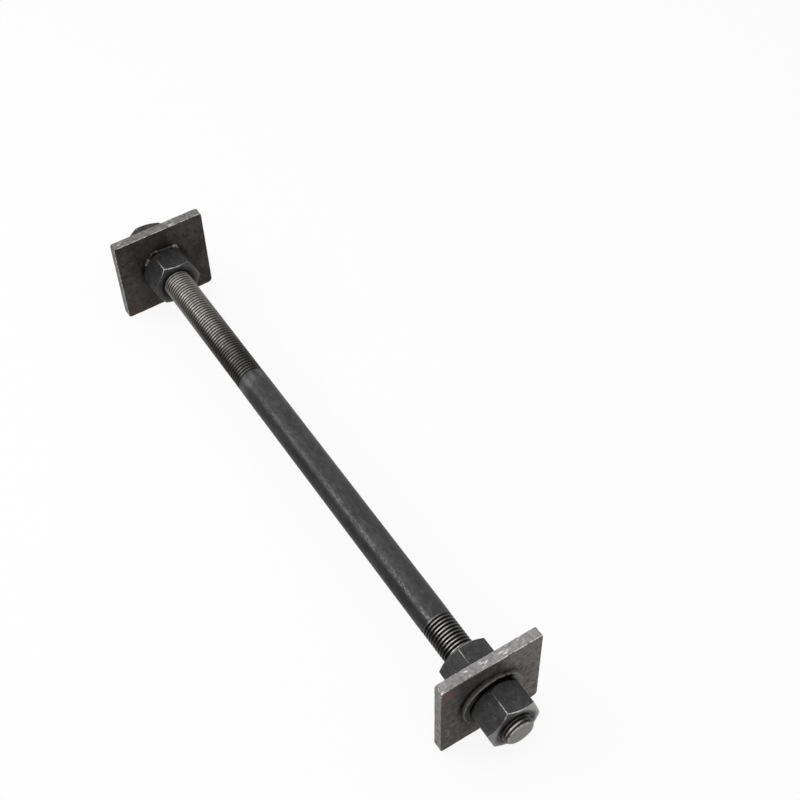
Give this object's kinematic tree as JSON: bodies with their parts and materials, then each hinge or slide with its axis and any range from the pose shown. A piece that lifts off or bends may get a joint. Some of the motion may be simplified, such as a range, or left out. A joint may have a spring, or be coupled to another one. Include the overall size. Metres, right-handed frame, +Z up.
{
  "type": "double head anchor bolt",
  "caption": "Threaded anchor rod with a square plate clamped between hexagon nuts at each end, lying on its plates' lower edges.",
  "frame": {"origin": "midway between the rod's ends, on the surface that the two plates' lower edges stand on", "axes": "+X along the rod towards its short-threaded end, +Z up, with the rod's axis 50 mm above the surface"},
  "size_m": [0.694, 0.1, 0.1],
  "materials": {
    "rod_steel": "hot-rolled bar with dark scale, oiled",
    "nut_steel": "black oxide, edges worn bright",
    "washer_steel": "black oxide",
    "plate_steel": "hot-rolled plate with mill scale and bright sheared edges",
    "weld_metal": "rough weld metal"
  },
  "bodies": {
    "rod_with_welded_plate": {"rod": "rod_steel", "long_end_plate": "plate_steel", "long_end_welded_nut": "nut_steel", "weld_bead": "weld_metal"},
    "short_plate": {"short_end_plate": "plate_steel"},
    "short_inner_nut": {"short_end_inner_nut": "nut_steel"},
    "short_washer": {"short_end_washer": "washer_steel"},
    "short_outer_nut": {"short_end_outer_nut": "nut_steel"},
    "long_washer": {"long_end_washer": "washer_steel"},
    "long_outer_nut": {"long_end_outer_nut": "nut_steel"}
  },
  "joints": [
    {"name": "short_washer_slide", "type": "slide", "parent": "rod_with_welded_plate", "child": "short_washer", "axis": [1, 0, 0], "range_m": [0, 0.035]},
    {"name": "short_outer_nut_turn", "type": "hinge", "parent": "short_washer", "child": "short_outer_nut", "pos_m": [0.3245, 0, 0.05], "axis": [1, 0, 0], "range_deg": [0, 3600]},
    {"name": "short_plate_slide", "type": "slide", "parent": "rod_with_welded_plate", "child": "short_plate", "axis": [-1, 0, 0], "range_m": [0, 0.035]},
    {"name": "short_inner_nut_turn", "type": "hinge", "parent": "short_plate", "child": "short_inner_nut", "pos_m": [0.2795, 0, 0.05], "axis": [-1, 0, 0], "range_deg": [0, 3600]},
    {"name": "long_washer_slide", "type": "slide", "parent": "rod_with_welded_plate", "child": "long_washer", "axis": [-1, 0, 0], "range_m": [0, 0.035]},
    {"name": "long_outer_nut_turn", "type": "hinge", "parent": "long_washer", "child": "long_outer_nut", "pos_m": [-0.3245, 0, 0.05], "axis": [-1, 0, 0], "range_deg": [0, 3600]}
  ],
  "couplings": [
    {"joint": "short_outer_nut_turn", "follows": "short_washer_slide", "rad_per_m": 1795.2},
    {"joint": "short_inner_nut_turn", "follows": "short_plate_slide", "rad_per_m": 1795.2},
    {"joint": "long_outer_nut_turn", "follows": "long_washer_slide", "rad_per_m": 1795.2}
  ]
}
